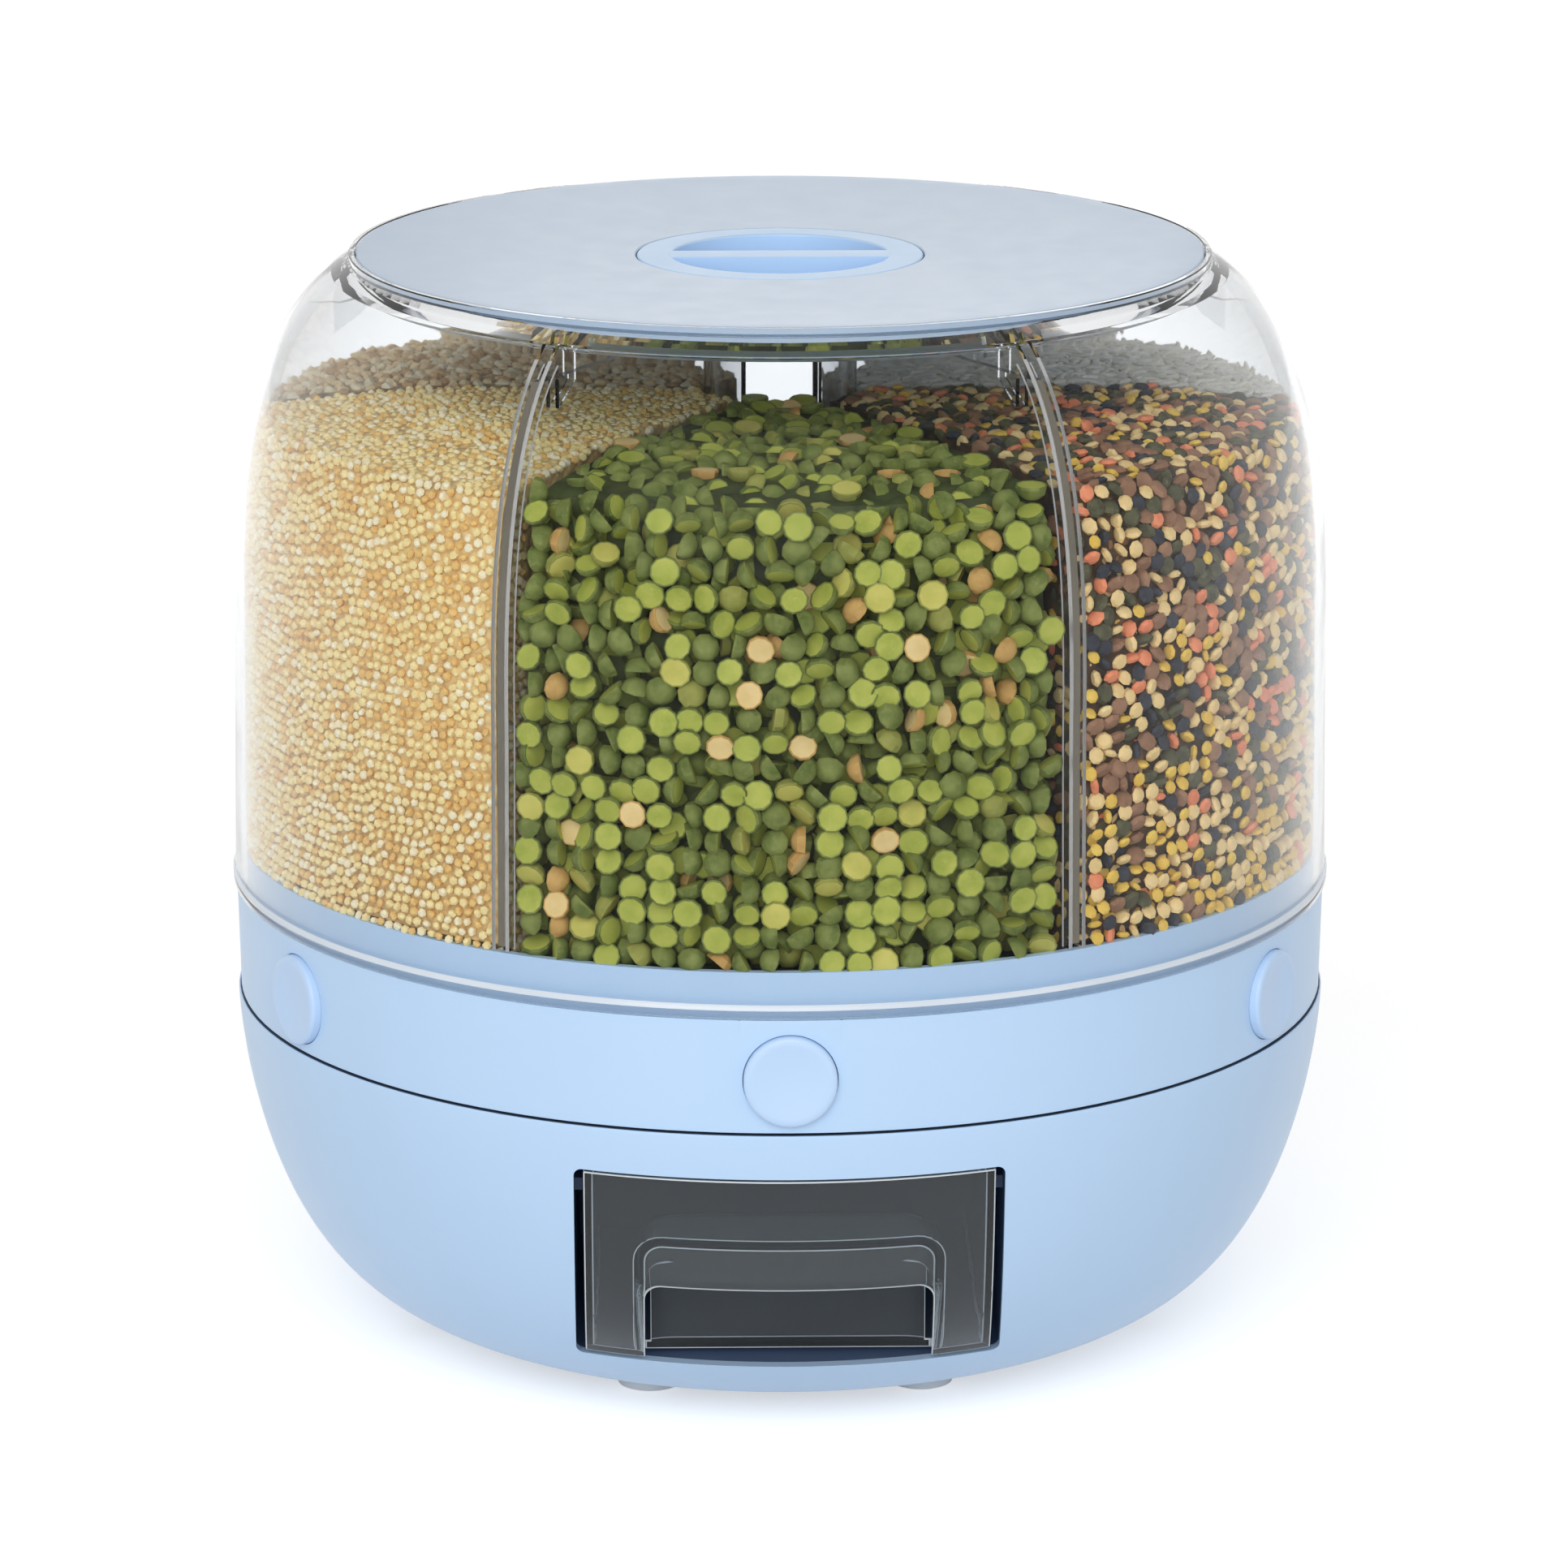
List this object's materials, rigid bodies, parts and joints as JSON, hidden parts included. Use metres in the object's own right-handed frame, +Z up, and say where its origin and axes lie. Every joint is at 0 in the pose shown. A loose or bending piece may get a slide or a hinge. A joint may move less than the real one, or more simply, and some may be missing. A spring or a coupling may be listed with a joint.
{
  "type": "rotating grain dispenser",
  "caption": "Round countertop grain dispenser with a turning clear drum of compartments, push-button gates, a dished lid and a clear catch drawer in the base.",
  "frame": {"origin": "centre of the feet, on the surface that the dispenser stands on", "axes": "+Z up along the spindle, the drawer opens towards -Y, +X to the right seen from the front"},
  "size_m": [0.2728, 0.2746, 0.2677],
  "materials": {
    "blue_plastic": "satin",
    "clear_plastic": "clear",
    "drawer_plastic": "clear",
    "white_plastic": "moulded",
    "steel": "machined",
    "spring_steel": "drawn wire",
    "rubber": "matte",
    "silicone": "translucent",
    "green_split_peas": "dry seed",
    "quinoa": "dry seed",
    "mixed_lentils": "dry seed",
    "white_rice": "dry seed",
    "cracked_wheat": "dry seed"
  },
  "bodies": {
    "base": {"base_shell": "blue_plastic", "base_deck": "blue_plastic", "drawer_tunnel": "blue_plastic", "tunnel_screws": "steel", "deck_screws": "steel", "rubber_feet": "rubber", "spindle": "steel", "spindle_washer": "steel", "spindle_screw": "steel"},
    "ball_ring": {"ball_cage": "white_plastic", "bearing_balls": "steel"},
    "drum": {"drum_ring": "blue_plastic", "drum_floor": "blue_plastic", "ring_screws": "steel", "clear_shell": "clear_plastic", "divider": "clear_plastic", "hub_cap": "clear_plastic", "spring_1": "spring_steel", "spring_2": "spring_steel", "spring_3": "spring_steel", "spring_4": "spring_steel", "spring_5": "spring_steel", "spring_6": "spring_steel"},
    "lid": {"lid": "blue_plastic", "lid_grip": "blue_plastic", "lid_seal": "silicone"},
    "drawer": {"drawer_tray": "drawer_plastic"},
    "station_1": {"button_1": "blue_plastic", "gate_1": "white_plastic"},
    "station_2": {"button_2": "blue_plastic", "gate_2": "white_plastic"},
    "station_3": {"button_3": "blue_plastic", "gate_3": "white_plastic"},
    "station_4": {"button_4": "blue_plastic", "gate_4": "white_plastic"},
    "station_5": {"button_5": "blue_plastic", "gate_5": "white_plastic"},
    "station_6": {"button_6": "blue_plastic", "gate_6": "white_plastic"}
  },
  "joints": [
    {"name": "drum_spin", "type": "hinge", "parent": "base", "child": "drum", "pos_m": [0, 0, 0.1], "axis": [0, 0, 1], "continuous": true},
    {"name": "ball_ring_spin", "type": "hinge", "parent": "base", "child": "ball_ring", "pos_m": [0, 0, 0.08215], "axis": [0, 0, 1], "continuous": true},
    {"name": "drawer_slide", "type": "slide", "parent": "base", "child": "drawer", "axis": [0, -1, 0], "range_m": [0, 0.085]},
    {"name": "lid_lift", "type": "slide", "parent": "drum", "child": "lid", "axis": [0, 0, 1], "range_m": [0, 0.06]},
    {"name": "button_1_press", "type": "slide", "parent": "drum", "child": "station_1", "axis": [0, 1, 0], "range_m": [0, 0.009], "stiffness_N_per_m": 150, "springref_m": -0.004, "deforming": ["spring_1"]},
    {"name": "button_2_press", "type": "slide", "parent": "drum", "child": "station_2", "axis": [-0.866, 0.5, 0], "range_m": [0, 0.009], "stiffness_N_per_m": 150, "springref_m": -0.004, "deforming": ["spring_2"]},
    {"name": "button_3_press", "type": "slide", "parent": "drum", "child": "station_3", "axis": [-0.866, -0.5, 0], "range_m": [0, 0.009], "stiffness_N_per_m": 150, "springref_m": -0.004, "deforming": ["spring_3"]},
    {"name": "button_4_press", "type": "slide", "parent": "drum", "child": "station_4", "axis": [0, -1, 0], "range_m": [0, 0.009], "stiffness_N_per_m": 150, "springref_m": -0.004, "deforming": ["spring_4"]},
    {"name": "button_5_press", "type": "slide", "parent": "drum", "child": "station_5", "axis": [0.866, -0.5, 0], "range_m": [0, 0.009], "stiffness_N_per_m": 150, "springref_m": -0.004, "deforming": ["spring_5"]},
    {"name": "button_6_press", "type": "slide", "parent": "drum", "child": "station_6", "axis": [0.866, 0.5, 0], "range_m": [0, 0.009], "stiffness_N_per_m": 150, "springref_m": -0.004, "deforming": ["spring_6"]}
  ],
  "couplings": [
    {"joint": "ball_ring_spin", "follows": "drum_spin", "ratio": 0.5}
  ]
}
